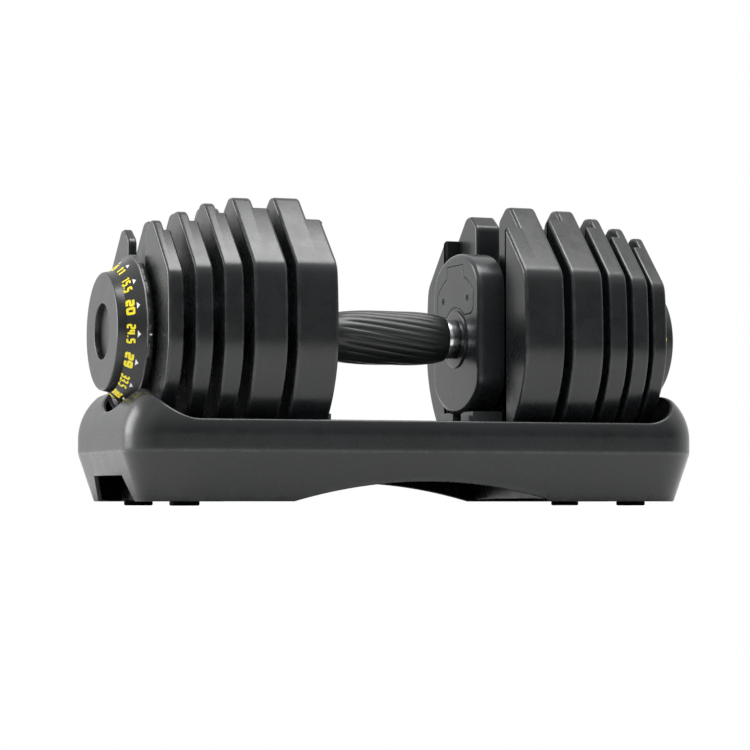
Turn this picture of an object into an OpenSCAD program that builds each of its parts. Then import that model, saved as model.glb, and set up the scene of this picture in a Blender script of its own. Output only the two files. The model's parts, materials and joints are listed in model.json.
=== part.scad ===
// Adjustable dumbbell resting in its cradle.
// X runs along the handle, Z is up, the floor is Z = 0 and Y = 0 is the middle of the width.

/* [Handle] */
// Height of the handle's centre line above the floor
axis_height = 125.7; // [122:0.1:150]
// Length of the rubber grip
grip_length = 92.6; // [86:0.2:160]
// Widest radius of the grip
grip_radius = 20.4; // [18.5:0.1:22]
// Radius of the grip at its two ends
grip_end_radius = 16.8; // [16:0.1:18]
// Outer radius of the steel handle tube
tube_radius = 13; // [12:0.1:13.5]
// Outer radius of the steel collar beside the grip
collar_radius = 15; // [14:0.1:16]
// Length of the steel collar between grip and bushing
collar_length = 9.1; // [4:0.1:12]
// Outer radius of the dark bushing on the hub
bushing_radius = 22; // [18:0.1:23]
// Thickness of the bushing
bushing_depth = 1.5; // [1:0.1:4]
// Radius of the rod that ties the handle together
rod_radius = 8; // [6:0.1:8.5]

/* [Hub housing] */
// Depth of the hub housing along the handle
hub_depth = 21.6; // [20:0.1:34]
// Half of the width between the housing's straight sides
hub_half_width = 44.5; // [41:0.1:50]
// Radius of the domed top of the housing
hub_top_radius = 61; // [56:0.1:66]
// Radius of the round underside of the housing
hub_low_radius = 57; // [54:0.1:60]
// Wall thickness of the housing
hub_wall = 4; // [3:0.1:5]
// Bevel round the front edge of the housing
hub_bevel = 3.5; // [1:0.1:3.8]
// Height of the cover screws above the centre line
cover_screw_rise = 30.2; // [29:0.1:33]
// Distance of each cover screw from the middle
cover_screw_reach = 23.4; // [20:0.1:26]
// Travel of the dial lock
lock_travel = 4; // [3:0.1:5]

/* [Plates] */
// Thickness of plate 1, next to the handle, with its pads
plate_1_thickness = 31.3; // [28:0.1:40]
// Thickness of plate 2 with its pads
plate_2_thickness = 25; // [21:0.1:32]
// Thickness of plate 3 with its pads
plate_3_thickness = 14.4; // [12:0.1:20]
// Thickness of plate 4 with its pads
plate_4_thickness = 13.1; // [11.5:0.1:18]
// Thickness of plate 5, next to the dial, with its pads
plate_5_thickness = 11.4; // [9.5:0.1:16]
// Half width of plate 1
plate_1_half = 97.1; // [93:0.1:101]
// Half width of plate 2
plate_2_half = 96.7; // [93:0.1:101]
// Half width of plate 3
plate_3_half = 93.5; // [90:0.1:98]
// Half width of plate 4
plate_4_half = 89; // [86:0.1:96]
// Half width of plate 5
plate_5_half = 82.7; // [76:0.1:86]
// Free space between two plates
plate_gap = 6.6; // [5.5:0.1:9]
// Space from the housing's back to the recessed face of plate 1
hub_to_plate = 5; // [4.8:0.1:8]
// Half width of the slot that lets the axle out upward
slot_half_width = 21; // [19:0.1:24]
// Half width of the recess between a plate's two pads
recess_half_width = 57.7; // [52:0.1:62]
// Half width of the recess in plates 2 to 5
outer_recess_half_width = 49.5; // [46:0.1:52]

/* [Dial] */
// Depth of a dial along the handle
dial_depth = 23; // [20:0.1:30]
// Space from plate 5 to the back of the dial
dial_gap = 2.9; // [2:0.1:5]
// Radius of the dial's outer face
dial_face_radius = 43.4; // [38:0.1:48]
// Large radius of the tapered number ring
dial_ring_radius = 54.2; // [52:0.1:58]
// Radius of the rim flange of the dial
dial_flange_radius = 56.2; // [55:0.1:60]
// Width of the rim flange
dial_flange_width = 4.5; // [3:0.1:7]
// Radius of the round recess in the dial's face
dial_recess_radius = 20.2; // [18:0.1:26]
// Depth of the round recess
dial_recess_depth = 4.4; // [2:0.1:5]
// Number of dial positions
positions = 15; // [15:1:15]

/* [Selector] */
// Outer radius of the selector discs
disc_radius = 36; // [35.6:0.1:38]
// Thickness of a selector disc
disc_thickness = 2.4; // [2:0.1:3]
// Radial thickness of the carrying flange
flange_thickness = 3.6; // [3:0.1:4]
// Length of the carrying flange
flange_length = 4; // [3:0.1:4.2]
// Half width of the tab that hangs on the flange
tab_half_width = 5; // [4:0.1:5.5]
// Radius of the spacer boss between the discs
boss_radius = 17; // [15:0.1:17.8]
// Width across the flats of the hexagonal dial sleeve
sleeve_flats = 24; // [22:0.1:25]
// Outer radius of the lock gear
gear_radius = 32; // [30:0.1:32.5]
// Thickness of the lock gear
gear_thickness = 4; // [3:0.1:5]

/* [Cradle] */
// Width of the cradle at its crease
base_width = 190.4; // [184:0.1:240]
// Cradle length beyond the two dial faces
base_extra_length = 1.4; // [0:0.1:20]
// Corner radius of the cradle
base_corner = 38; // [34:0.5:50]
// Height of the crease
crease_height = 38.4; // [34:0.1:48]
// How far the lower band leans in at the bottom
bottom_inset = 12; // [6:0.1:16]
// Height where the wall begins to lean in
lean_start = 49; // [44:0.1:54]
// Radius of the leaning upper wall
lean_radius = 41; // [38:0.1:50]
// Height of the rim along the front and back
rim_height = 61; // [55:0.1:66]
// Height of the raised corners
lobe_height = 84; // [76:0.1:88]
// Where the rim begins to rise, measured from the cradle's end
rim_rise_reach = 93.7; // [80:0.1:110]
// Length over which the rim rises to a raised corner
rim_rise_length = 60; // [45:0.5:75]
// Wall thickness of the cradle
base_wall = 3.5; // [2.5:0.1:4.5]
// Height of the underside of the tray floor
floor_low = 24; // [20:0.1:24.5]
// Thickness of the tray floor
floor_thickness = 3.5; // [2.5:0.1:4]
// Height of the arch under the front and back
arch_rise = 14.3; // [8:0.1:15]
// Half width of the arch at the bottom
arch_half_width = 101; // [60:1:130]
// Half width of the hand notch at each end, at its top
notch_half_width = 37; // [25:0.5:45]
// Height of the rubber feet
foot_height = 3; // [2:0.1:5]
// Radius of the rubber feet
foot_radius = 10.7; // [8:0.1:12]
// Distance of the feet's centres from the cradle's ends
foot_end_gap = 45.7; // [38:0.1:60]
// Distance of the feet's centres from the cradle's long sides
foot_side_gap = 36.7; // [30:0.1:50]
// Distance of the saddle rib under a dial from the cradle's end
saddle_reach = 16.7; // [16:0.1:17]
// Thickness of the saddle rib
saddle_thickness = 3; // [2:0.1:3.2]
// Thickness of a divider between two plates
divider_thickness = 3; // [2:0.1:4]

/* [Hidden] */
$fn = 96;
eps = 0.01;
seat_gap = 0.2;       // between a lifted piece and what it rests on
fit_gap = 0.1;        // between pieces of one body that are assembled
running_gap = 0.06;   // radial, rotating sleeve on the rod
flange_gap = 0.6;     // flange to plate face
tab_gap = 0.8;        // tab to flange, radial
tab_short = 0.6;      // tab is this much shorter than the flange

thick = [plate_1_thickness, plate_2_thickness, plate_3_thickness, plate_4_thickness, plate_5_thickness];
pad = [11, 10.6, 6.6, 5.9, 4.8];
half = [plate_1_half, plate_2_half, plate_3_half, plate_4_half, plate_5_half];
recess = [recess_half_width, outer_recess_half_width, outer_recess_half_width, outer_recess_half_width,
  outer_recess_half_width - 2];
plates = len(thick);
function ear_top(i) = half[i] * [1.007, 0.998, 0.979, 0.953, 0.943][i];
function low_end(i) = half[i] * 0.968;

hub_face = grip_length / 2 + collar_length + bushing_depth;
hub_back = hub_face + hub_depth;
web_1 = hub_back + hub_to_plate;
function total(v, n) = n <= 0 ? 0 : v[n - 1] + total(v, n - 1);
function pad_in(i) = web_1 - pad[0] + total(thick, i) + i * plate_gap;
function web_in(i) = pad_in(i) + pad[i];
function web_out(i) = pad_in(i) + thick[i];
dial_back = web_out(plates - 1) + dial_gap;
dial_face = dial_back + dial_depth;

flange_in_radius = disc_radius - flange_thickness;
function flange_end(i) = web_in(i) - flange_gap;
function disc_front(i) = flange_end(i) - flange_length;
function disc_back(i) = disc_front(i) - disc_thickness;

cavity_front = hub_face + hub_wall;
back_plate_thickness = 1.5;
gear_front = cavity_front + 4;
back_plate_x = disc_back(0) - 2 * fit_gap - back_plate_thickness;
sleeve_start = cavity_front + 0.6;
pocket_floor = dial_face - dial_recess_depth - 2 - 8.3;
sleeve_end = pocket_floor - fit_gap;
cap_thickness = 2;

base_x = dial_face + base_extra_length / 2;
base_y = base_width / 2;
floor_top = floor_low + floor_thickness;
base_low = foot_height;
foot_x = base_x - foot_end_gap;
foot_y = base_y - foot_side_gap;

// Which dial positions carry each plate: one row per plate, one mark per position, starting with
// the position that faces the front, then the one that comes to the front next as the dial turns up.
carried = ["111111111000001", "011111100100010", "101110000000100", "000111010010000", "010010000001011"];
step_angle = 360 / positions;

// Which sub-part to show

// ---- helpers ----

// Every right-hand piece is drawn on the +X side; the left one is its mirror image.
module side(right) { if (right) children(); else mirror([1, 0, 0]) children(); }

// Turns a flat outline (y, height above the centre line) into a slab from x0 to x1.
module slab(x0, x1) {
  translate([x0, 0, axis_height]) rotate([90, 0, 90]) linear_extrude(x1 - x0) children();
}

module rod_x(r, x0, x1) { translate([x0, 0, axis_height]) rotate([0, 90, 0]) cylinder(r = r, h = x1 - x0); }

module hex_x(flats, x0, x1) {
  translate([x0, 0, axis_height]) rotate([0, 90, 0]) cylinder(r = flats / sqrt(3), h = x1 - x0, $fn = 6);
}

// Revolves an outline given as (x, radius) about the handle's centre line.
module turned() { translate([0, 0, axis_height]) rotate([0, 90, 0]) rotate_extrude() rotate(90) mirror([0, 1]) children(); }

// ---- cradle ----

function divider_start(i) = web_out(i) + (plate_gap - divider_thickness) / 2;

function lean(z) = z <= lean_start ? 0 : lean_radius - sqrt(pow(lean_radius, 2) - pow(z - lean_start, 2));
function wall_in(z) = z <= crease_height ? bottom_inset * (crease_height - z) / (crease_height - base_low) : lean(z);

// One corner post of the outer form, shrunk by t for the inner form.
module corner_form(t, low, high) {
  steps = 7;
  rotate_extrude($fn = 48) polygon(concat(
    [[0, low], [base_corner - t - wall_in(low), low], [base_corner - t, crease_height]],
    [for (k = [0:steps]) let (z = lean_start + (high - lean_start) * k / steps) [base_corner - t - lean(z), z]],
    [[0, high]]));
}

module tray_form(t, low, high) {
  hull() for (sx = [-1, 1], sy = [-1, 1])
    translate([sx * (base_x - base_corner), sy * (base_y - base_corner), 0]) corner_form(t, low, high);
}

// Cuts the rim: low along the sides, easing up to the raised corners on a diagonal line.
function ease(t) = t * t * (3 - 2 * t);
module rim_cut() {
  slope = atan(0.5);
  steps = 14;
  edge = [for (k = [0:steps]) [(base_x - rim_rise_reach + rim_rise_length * k / steps) * cos(slope),
    rim_height + (lobe_height - rim_height) * ease(k / steps)]];
  for (sx = [0, 1], sy = [0, 1]) mirror([sx, 0, 0]) mirror([0, sy, 0])
    intersection() {
      translate([-eps, -base_y - 20, rim_height - 1]) cube([base_x + 40, base_y + 20 + eps, 60]);
      rotate(slope) rotate([90, 0, 0]) translate([0, 0, -300]) linear_extrude(600)
        polygon(concat([[-260, rim_height]], edge, [[400, lobe_height], [400, 160], [-260, 160]]));
    }
}

module base_shell() {
  arch_r = (pow(arch_half_width, 2) + pow(arch_rise, 2)) / (2 * arch_rise);
  color([0.17, 0.175, 0.18]) union() {
    difference() {
      tray_form(0, base_low, lobe_height + 0.5);
      // tray and hollow underside
      difference() {
        tray_form(base_wall, base_low - eps, lobe_height + 2);
        translate([-base_x, -base_y, floor_low]) cube([2 * base_x, 2 * base_y, floor_thickness]);
        // saddle rib under each dial
        for (sx = [-1, 1]) translate([sx * (base_x - saddle_reach) - saddle_thickness / 2, -base_y, floor_low + eps])
          cube([saddle_thickness, 2 * base_y, lobe_height]);
      }
      rim_cut();
      // clearance for the dials in the end walls
      for (sx = [-1, 1]) translate([sx * (base_x - 16) - 20, 0, axis_height]) rotate([0, 90, 0])
        cylinder(r = dial_flange_radius + 1.8, h = 40);
      // arch under the long sides
      translate([0, base_y + 5, base_low + arch_rise - arch_r]) rotate([90, 0, 0])
        cylinder(r = arch_r, h = 2 * base_y + 10, $fn = 256);
      // hand notches in the end walls
      for (sx = [0, 1]) mirror([sx, 0, 0])
        translate([base_x - 26, 0, base_low - 1]) rotate([90, 0, 90]) linear_extrude(40) polygon([
          [-notch_half_width - 12, -1], [notch_half_width + 12, -1],
          [notch_half_width, floor_low - base_low - 1.5], [-notch_half_width, floor_low - base_low - 1.5]]);
    }
    // foot bosses
    for (sx = [-1, 1], sy = [-1, 1]) translate([sx * foot_x, sy * foot_y, base_low])
      difference() {
        cylinder(r = foot_radius + 2, h = floor_low - base_low + 1);
        translate([0, 0, -1]) cylinder(r = 1.6, h = 13);
      }
    // stiffening ribs under the floor
    for (sx = [-1, 1], x = [web_out(0) + plate_gap / 2, web_out(2) + plate_gap / 2]) translate([sx * x - 1.2, -base_y + 15, base_low + 2])
      cube([2.4, 2 * base_y - 30, floor_low - base_low - 1]);
  }
}

// Stepped seats, with a pair of divider posts in every gap between the plates.
module plate_cradle(right) {
  side(right) color([0.13, 0.13, 0.14]) union() {
    translate([web_in(0) + 0.5, -62, floor_top]) cube([dial_back - 4.5 - web_in(0), 124, 3]);
    for (i = [0:plates - 1]) {
      top = axis_height - low_end(i) - seat_gap;
      translate([web_in(i) + 0.5, -27, floor_top]) cube([web_out(i) - web_in(i) - 1.5, 54, top - floor_top]);
      if (i < plates - 1) for (sy = [-1, 1])
        translate([divider_start(i), sy * 51 - 11, floor_top]) cube([divider_thickness, 22, rim_height - 3 - floor_top]);
    }
  }
}

// Saddle under a hub housing, with the post that holds the dial lock open.
module hub_rest(right) {
  x0 = hub_face + 1.2;
  x1 = min(hub_back + 3.5, web_in(0) - 1);
  side(right) color([0.45, 0.46, 0.47]) union() {
    difference() {
      translate([x0, -31, floor_top]) cube([x1 - x0, 62, axis_height - hub_low_radius + 1.6 - floor_top]);
      rod_x(hub_low_radius + seat_gap, x0 - 1, x1 + 1);
      translate([x0 - 1, -8, floor_top + 3]) cube([x1 - x0 + 2, 16, 60]);
      for (sy = [-1, 1]) translate([x0 + 3.5, sy * 19.5 - 8, floor_top + 3]) cube([x1 - x0 - 7, 16, 24]);
    }
    translate([slider_x - 1.5, -4.5, floor_top]) cube([slider_thickness + 3, 9, stem_low - seat_gap - floor_top]);
    translate([x0 - 3.4, -31, floor_top]) cube([2.2, 13, axis_height - hub_low_radius - 1.4 - floor_top]);
    translate([x0 - 3.4, -31, floor_top]) cube([4, 62, 4]);
  }
}

module rubber_feet() {
  color([0.05, 0.05, 0.05]) for (sx = [-1, 1], sy = [-1, 1]) translate([sx * foot_x, sy * foot_y, 0])
    difference() {
      union() {
        cylinder(r1 = foot_radius - 0.6, r2 = foot_radius, h = 0.6);
        translate([0, 0, 0.6]) cylinder(r = foot_radius, h = foot_height - 0.6);
      }
      translate([0, 0, -1]) cylinder(r = 4, h = 2.4);
      cylinder(r = 1.7, h = foot_height + 1);
    }
}

module feet_screws() {
  color([0.6, 0.6, 0.62]) for (sx = [-1, 1], sy = [-1, 1]) translate([sx * foot_x, sy * foot_y, 0.4]) union() {
    difference() {
      cylinder(r = 3.4, h = 1);
      translate([-2.2, -0.4, -0.1]) cube([4.4, 0.8, 0.5]);
      translate([-0.4, -2.2, -0.1]) cube([0.8, 4.4, 0.5]);
    }
    translate([0, 0, 0.9]) cylinder(r = 1.5, h = 12);
  }
}

module cradle_screws() {
  color([0.55, 0.55, 0.57]) for (sx = [-1, 1], x = [web_in(0) + 5, divider_start(3) + divider_thickness + 4.8], sy = [-1, 1])
    translate([sx * x, sy * 52, floor_top + 3]) difference() {
      cylinder(r = 3.6, h = 1.6);
      translate([-2.4, -0.45, 0.9]) cube([4.8, 0.9, 1]);
      translate([-0.45, -2.4, 0.9]) cube([0.9, 4.8, 1]);
    }
}

// ---- plates ----

// Outline of a plate: faceted above the centre line, round below it, with a flat foot.
module plate_outline(i) {
  h = half[i];
  intersection() {
    union() {
      intersection() {
        circle(r = h * 1.075);
        rotate(45) square(2 * h * 1.0175, center = true);
        translate([-h, 0]) square([2 * h, ear_top(i)]);
      }
      intersection() {
        circle(r = h * 1.01);
        translate([-h, -low_end(i)]) square([2 * h, low_end(i) + eps]);
      }
    }
    translate([-h, -2 * h]) square([2 * h, 4 * h]);
  }
}

// Slot open to the top, with a lead-in at its mouth.
module slot_outline(i) {
  circle(r = slot_half_width);
  translate([-slot_half_width, 0]) square([2 * slot_half_width, 2 * half[i]]);
  polygon([[-slot_half_width - 12.5, ear_top(i) + 0.1], [-slot_half_width, ear_top(i) - 9],
    [slot_half_width, ear_top(i) - 9], [slot_half_width + 12.5, ear_top(i) + 0.1]]);
}

module plate(i, right) {
  side(right) color([0.19, 0.19, 0.2]) union() {
    slab(web_in(i), web_out(i)) difference() { plate_outline(i); slot_outline(i); }
    // side pads toward the handle
    slab(pad_in(i), web_in(i) + eps) difference() {
      plate_outline(i);
      translate([-recess[i], -2 * half[i]]) square([2 * recess[i], 4 * half[i]]);
    }
    // tab that hangs on the selector flange
    tab_low = flange_in_radius - tab_gap;
    translate([web_in(i) - flange_length - flange_gap + tab_short + 0.6, -tab_half_width, axis_height - tab_low])
      cube([flange_length + flange_gap - tab_short - 0.6 + eps, 2 * tab_half_width, tab_low - slot_half_width - 0.4]);
  }
}

// ---- handle ----

module handle_tube() {
  color([0.72, 0.73, 0.75]) difference() {
    rod_x(tube_radius, -cavity_front, cavity_front);
    rod_x(rod_radius + fit_gap, -cavity_front - 1, cavity_front + 1);
  }
}

module tie_rod() { color([0.6, 0.61, 0.63]) rod_x(rod_radius, -pocket_floor - 7.6, pocket_floor + 7.6); }

module rod_nuts() {
  for (right = [false, true]) side(right) {
    color([0.66, 0.67, 0.69]) difference() {
      hex_x(22, pocket_floor + 1.5, pocket_floor + 7.8);
      rod_x(rod_radius, pocket_floor, pocket_floor + 9);
    }
    color([0.66, 0.67, 0.69]) difference() {
      rod_x(14, pocket_floor + 0.2, pocket_floor + 1.4);
      rod_x(rod_radius, pocket_floor, pocket_floor + 9);
    }
  }
}

module grip_sleeve() {
  // barrel form: nearly straight in the middle, drawn in at both ends
  n = 16;
  l = grip_length / 2;
  color([0.06, 0.065, 0.07]) difference() {
    turned() polygon(concat([[-l, 0]],
      [for (k = [-n:n]) let (t = k / n) [l * t, grip_radius - (grip_radius - grip_end_radius) * pow(t, 4)]],
      [[l, 0]]));
    rod_x(tube_radius, -l - 1, l + 1);
  }
}

module collar(right) {
  side(right) color([0.78, 0.79, 0.8]) difference() {
    turned() polygon([[grip_length / 2, 0], [grip_length / 2, collar_radius - 0.5],
      [grip_length / 2 + 0.5, collar_radius], [hub_face - bushing_depth - 1, collar_radius],
      [hub_face - bushing_depth - 0.6, collar_radius - 0.8], [hub_face, collar_radius - 0.8], [hub_face, 0]]);
    rod_x(tube_radius, grip_length / 2 - 1, hub_face + 1);
  }
}

module hub_bushing(right) {
  side(right) color([0.05, 0.05, 0.055]) difference() {
    turned() polygon([[hub_face - bushing_depth, 0], [hub_face - bushing_depth, bushing_radius - 0.6],
      [hub_face - bushing_depth + 0.6, bushing_radius], [hub_face, bushing_radius], [hub_face, 0]]);
    rod_x(collar_radius - 0.8 + fit_gap, hub_face - bushing_depth - 1, hub_face + 1);
  }
}

module hub_outline(t) {
  intersection() {
    union() {
      intersection() { circle(r = hub_top_radius - t); translate([-90, 0]) square([180, 90]); }
      intersection() { circle(r = hub_low_radius - t); translate([-90, -90]) square([180, 90 + eps]); }
    }
    translate([-hub_half_width + t, -90]) square([2 * (hub_half_width - t), 180]);
  }
}

// Key-shaped outline: a ring segment round the bushing with a neck to the top.
module cover_outline(t) {
  difference() {
    union() {
      intersection() {
        circle(r = 50 - t);
        translate([-35.3 + t, 17.5 + t]) square([2 * (35.3 - t), 60]);
      }
      translate([-16.6 + t, 30]) square([2 * (16.6 - t), hub_top_radius - hub_bevel - 30 - 1 - t]);
    }
    circle(r = bushing_radius + 2 + t);
  }
}

module hub_housing(right) {
  cover_depth = 1.6;
  side(right) color([0.3, 0.31, 0.32]) difference() {
    union() {
      slab(hub_face + hub_bevel, hub_back) hub_outline(0);
      // bevelled front edge in three steps
      hull() {
        slab(hub_face, hub_face + eps) hub_outline(hub_bevel);
        slab(hub_face + hub_bevel * 0.35, hub_face + hub_bevel * 0.35 + eps) hub_outline(hub_bevel * 0.36);
        slab(hub_face + hub_bevel, hub_face + hub_bevel + eps) hub_outline(0);
      }
    }
    slab(cavity_front, hub_back + 1) hub_outline(hub_wall);
    slab(hub_face - 1, hub_face + cover_depth) cover_outline(0);
    rod_x(tube_radius, hub_face - 1, cavity_front + 1);
    // screw holes of the cover
    for (sy = [-1, 1]) translate([hub_face, sy * cover_screw_reach, axis_height + cover_screw_rise])
      rotate([0, 90, 0]) cylinder(r = 1.4, h = hub_wall + 2);
    // way out for the lock stem
    translate([slider_x - 0.5, -stem_half - 0.5, axis_height - hub_low_radius - 2])
      cube([slider_thickness + 1, 2 * stem_half + 1, hub_wall + 6]);
  }
}

module hub_cover(right) {
  side(right) color([0.31, 0.32, 0.33]) difference() {
    slab(hub_face - 0.1, hub_face + 1.6 - 0.05) cover_outline(0.35);
    for (sy = [-1, 1]) translate([hub_face - 1, sy * cover_screw_reach, axis_height + cover_screw_rise])
      rotate([0, 90, 0]) { cylinder(r = 2.6, h = 1.9); cylinder(r = 1.5, h = 4); }
  }
}

module cover_screws() {
  for (right = [false, true], sy = [-1, 1]) side(right) color([0.12, 0.12, 0.13])
    translate([hub_face + 0.95, sy * cover_screw_reach, axis_height + cover_screw_rise]) rotate([0, 90, 0]) {
      translate([0, 0, -0.75]) difference() {
        cylinder(r = 2.45, h = 0.7);
        translate([-1.7, -0.3, -0.1]) cube([3.4, 0.6, 0.45]);
        translate([-0.3, -1.7, -0.1]) cube([0.6, 3.4, 0.45]);
      }
      translate([0, 0, -0.06]) cylinder(r = 1.3, h = 4.4);
    }
}

module hub_back(right) {
  side(right) color([0.16, 0.16, 0.17]) difference() {
    slab(back_plate_x, back_plate_x + back_plate_thickness) hub_outline(hub_wall + fit_gap);
    rod_x(boss_radius + 0.6, back_plate_x - 1, hub_back);
  }
}

// Sliding frame of the dial lock, shown raised by the cradle's post so that the dial is free.
slider_thickness = 3;
slider_x = gear_front + (gear_thickness - slider_thickness) / 2;
stem_half = 3;
stem_low = axis_height - hub_low_radius - 2.4;
rail_in = gear_radius + 1.2;
rail_out = hub_half_width - hub_wall - 0.6;
module lock_slider(right) {
  top_bar = gear_radius + 2.2;
  side(right) color([0.62, 0.63, 0.65]) difference() {
    union() {
      slab(slider_x, slider_x + slider_thickness) difference() {
        intersection() {
          translate([-rail_out, -gear_radius - 7.5]) square([2 * rail_out, top_bar + 7 + gear_radius + 7.5]);
          circle(r = hub_low_radius - hub_wall - lock_travel - 0.8);
        }
        translate([-rail_in, -gear_radius - 1.5]) square([2 * rail_in, top_bar + gear_radius + 1.5]);
      }
      slab(slider_x, slider_x + slider_thickness) {
        // locking tooth, clear of the gear while the lock is raised
        translate([-2, gear_radius + 0.6]) square([4, 3]);
        // stem to the cradle's post
        translate([-stem_half, -hub_low_radius - 2.4]) square([2 * stem_half, hub_low_radius - gear_radius - 2]);
        // peg for the spring
        translate([-1.5, top_bar + 6]) square([3, 2.6]);
      }
    }
  }
}

// Coil springs above the sliders, each a swept row of short links along a helix.
module lock_springs() {
  top = hub_top_radius - hub_wall - 0.5;
  low = gear_radius + 2.2 + 7 + 0.45;
  coil = 2.6; wire = 0.35; turns = 5; n = 60;
  for (right = [false, true]) side(right) color([0.75, 0.75, 0.77])
    translate([slider_x + slider_thickness / 2, 0, axis_height])
      coil_wire(coil, wire, turns, low + wire, top - wire, n);
}

// A wire of round section along a helix, built as one closed surface.
module coil_wire(coil, wire, turns, z0, z1, n) {
  m = 8;
  function spot(k, j) = let (a = 360 * turns * k / n, b = 360 * j / m, r = coil + wire * cos(b))
    [r * cos(a), r * sin(a), z0 + (z1 - z0) * k / n + wire * sin(b)];
  pts = [for (k = [0:n], j = [0:m - 1]) spot(k, j)];
  walls = [for (k = [0:n - 1], j = [0:m - 1]) let (a = k * m + j, b = k * m + (j + 1) % m)
    [a, a + m, b + m, b]];
  polyhedron(points = pts, faces = concat(walls, [[for (j = [0:m - 1]) j]], [[for (j = [m - 1:-1:0]) n * m + j]]));
}

// ---- dial and selector ----

module dial_knob(right) {
  ring_end = dial_back + dial_flange_width;
  side(right) color([0.1, 0.1, 0.105]) difference() {
    turned() polygon([
      [dial_back, 0], [dial_back, dial_flange_radius - 0.8], [dial_back + 0.8, dial_flange_radius],
      [ring_end - 0.8, dial_flange_radius], [ring_end, dial_flange_radius - 0.8], [ring_end, dial_ring_radius],
      [ring_end + 12, dial_face_radius + 0.5], [dial_face - 0.8, dial_face_radius - 0.3],
      [dial_face, dial_face_radius - 1], [dial_face, 0]]);
    // hollow back between hub and ring
    turned() polygon([[dial_back - 1, 24], [dial_back - 1, dial_ring_radius - 3.2],
      [ring_end, dial_ring_radius - 3.6], [dial_face - 9, dial_face_radius - 1.6], [dial_face - 9, 24]]);
    hex_x(sleeve_flats + 2 * fit_gap, dial_back - 1, pocket_floor);
    rod_x(18, pocket_floor, dial_face);
    rod_x(dial_recess_radius, dial_face - dial_recess_depth - cap_thickness, dial_face + 1);
  }
}

module dial_cap(right) {
  side(right) color([0.32, 0.33, 0.34])
    rod_x(dial_recess_radius - fit_gap, dial_face - dial_recess_depth - cap_thickness, dial_face - dial_recess_depth);
}

module dial_sleeve(right) {
  side(right) color([0.68, 0.69, 0.7]) difference() {
    hex_x(sleeve_flats, sleeve_start, sleeve_end);
    rod_x(rod_radius + running_gap, sleeve_start - 1, sleeve_end + 1);
  }
}

module lock_gear(right) {
  side(right) color([0.5, 0.51, 0.52]) difference() {
    union() {
      rod_x(gear_radius, gear_front, gear_front + gear_thickness);
      rod_x(boss_radius, gear_front + gear_thickness - eps, disc_back(0));
    }
    hex_x(sleeve_flats + 2 * fit_gap, gear_front - 1, disc_back(0) + 1);
    for (k = [0:positions - 1]) translate([gear_front - 1, 0, axis_height]) rotate([k * step_angle, 0, 0])
      translate([0, -2.3, gear_radius - 3.6]) cube([gear_thickness + 2, 4.6, 8]);
  }
}

// Disc with a carrying flange at the positions where its plate is lifted.
module selector_disc(i, right) {
  boss_end = i < plates - 1 ? disc_back(i + 1) : dial_back;
  side(right) color([0.42, 0.43, 0.45]) difference() {
    union() {
      rod_x(disc_radius, disc_back(i), disc_front(i));
      rod_x(boss_radius, disc_front(i) - eps, boss_end);
      difference() {
        rod_x(disc_radius, disc_front(i) - eps, flange_end(i));
        rod_x(flange_in_radius, disc_front(i) - 1, flange_end(i) + 1);
        for (k = [0:positions - 1]) if (carried[i][k] == "0")
          translate([disc_front(i), 0, axis_height]) rotate([90, 0, 90])
            linear_extrude(flange_length + 1) gap_wedge(k);
      }
    }
    hex_x(sleeve_flats + 2 * fit_gap, disc_back(i) - 1, boss_end + 1);
  }
}

// Wedge of one dial position, counted from straight down toward the back.
module gap_wedge(k) {
  a = -90 + k * step_angle;
  r = 2 * disc_radius;
  h = step_angle / 2;
  polygon([[0, 0], [r * cos(a - h), r * sin(a - h)], [r * cos(a + h), r * sin(a + h)]]);
}

// ---- show ----
base_shell();
plate_cradle(false);  // plate_cradle_left
plate_cradle(true);  // plate_cradle_right
hub_rest(false);  // hub_rest_left
hub_rest(true);  // hub_rest_right
rubber_feet();
feet_screws();
cradle_screws();
plate(0, false);  // plate_1_left
plate(1, false);  // plate_2_left
plate(2, false);  // plate_3_left
plate(3, false);  // plate_4_left
plate(4, false);  // plate_5_left
plate(0, true);  // plate_1_right
plate(1, true);  // plate_2_right
plate(2, true);  // plate_3_right
plate(3, true);  // plate_4_right
plate(4, true);  // plate_5_right
handle_tube();
tie_rod();
rod_nuts();
grip_sleeve();
collar(false);  // collar_left
collar(true);  // collar_right
hub_bushing(false);  // hub_bushing_left
hub_bushing(true);  // hub_bushing_right
hub_housing(false);  // hub_housing_left
hub_housing(true);  // hub_housing_right
hub_cover(false);  // hub_cover_left
hub_cover(true);  // hub_cover_right
cover_screws();
hub_back(false);  // hub_back_left
hub_back(true);  // hub_back_right
lock_slider(false);  // lock_slider_left
lock_slider(true);  // lock_slider_right
lock_springs();
dial_knob(false);  // dial_knob_left
dial_cap(false);  // dial_cap_left
dial_sleeve(false);  // dial_sleeve_left
lock_gear(false);  // lock_gear_left
selector_disc(0, false);  // disc_1_left
selector_disc(1, false);  // disc_2_left
selector_disc(2, false);  // disc_3_left
selector_disc(3, false);  // disc_4_left
selector_disc(4, false);  // disc_5_left
dial_knob(true);  // dial_knob_right
dial_cap(true);  // dial_cap_right
dial_sleeve(true);  // dial_sleeve_right
lock_gear(true);  // lock_gear_right
selector_disc(0, true);  // disc_1_right
selector_disc(1, true);  // disc_2_right
selector_disc(2, true);  // disc_3_right
selector_disc(3, true);  // disc_4_right
selector_disc(4, true);  // disc_5_right
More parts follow.
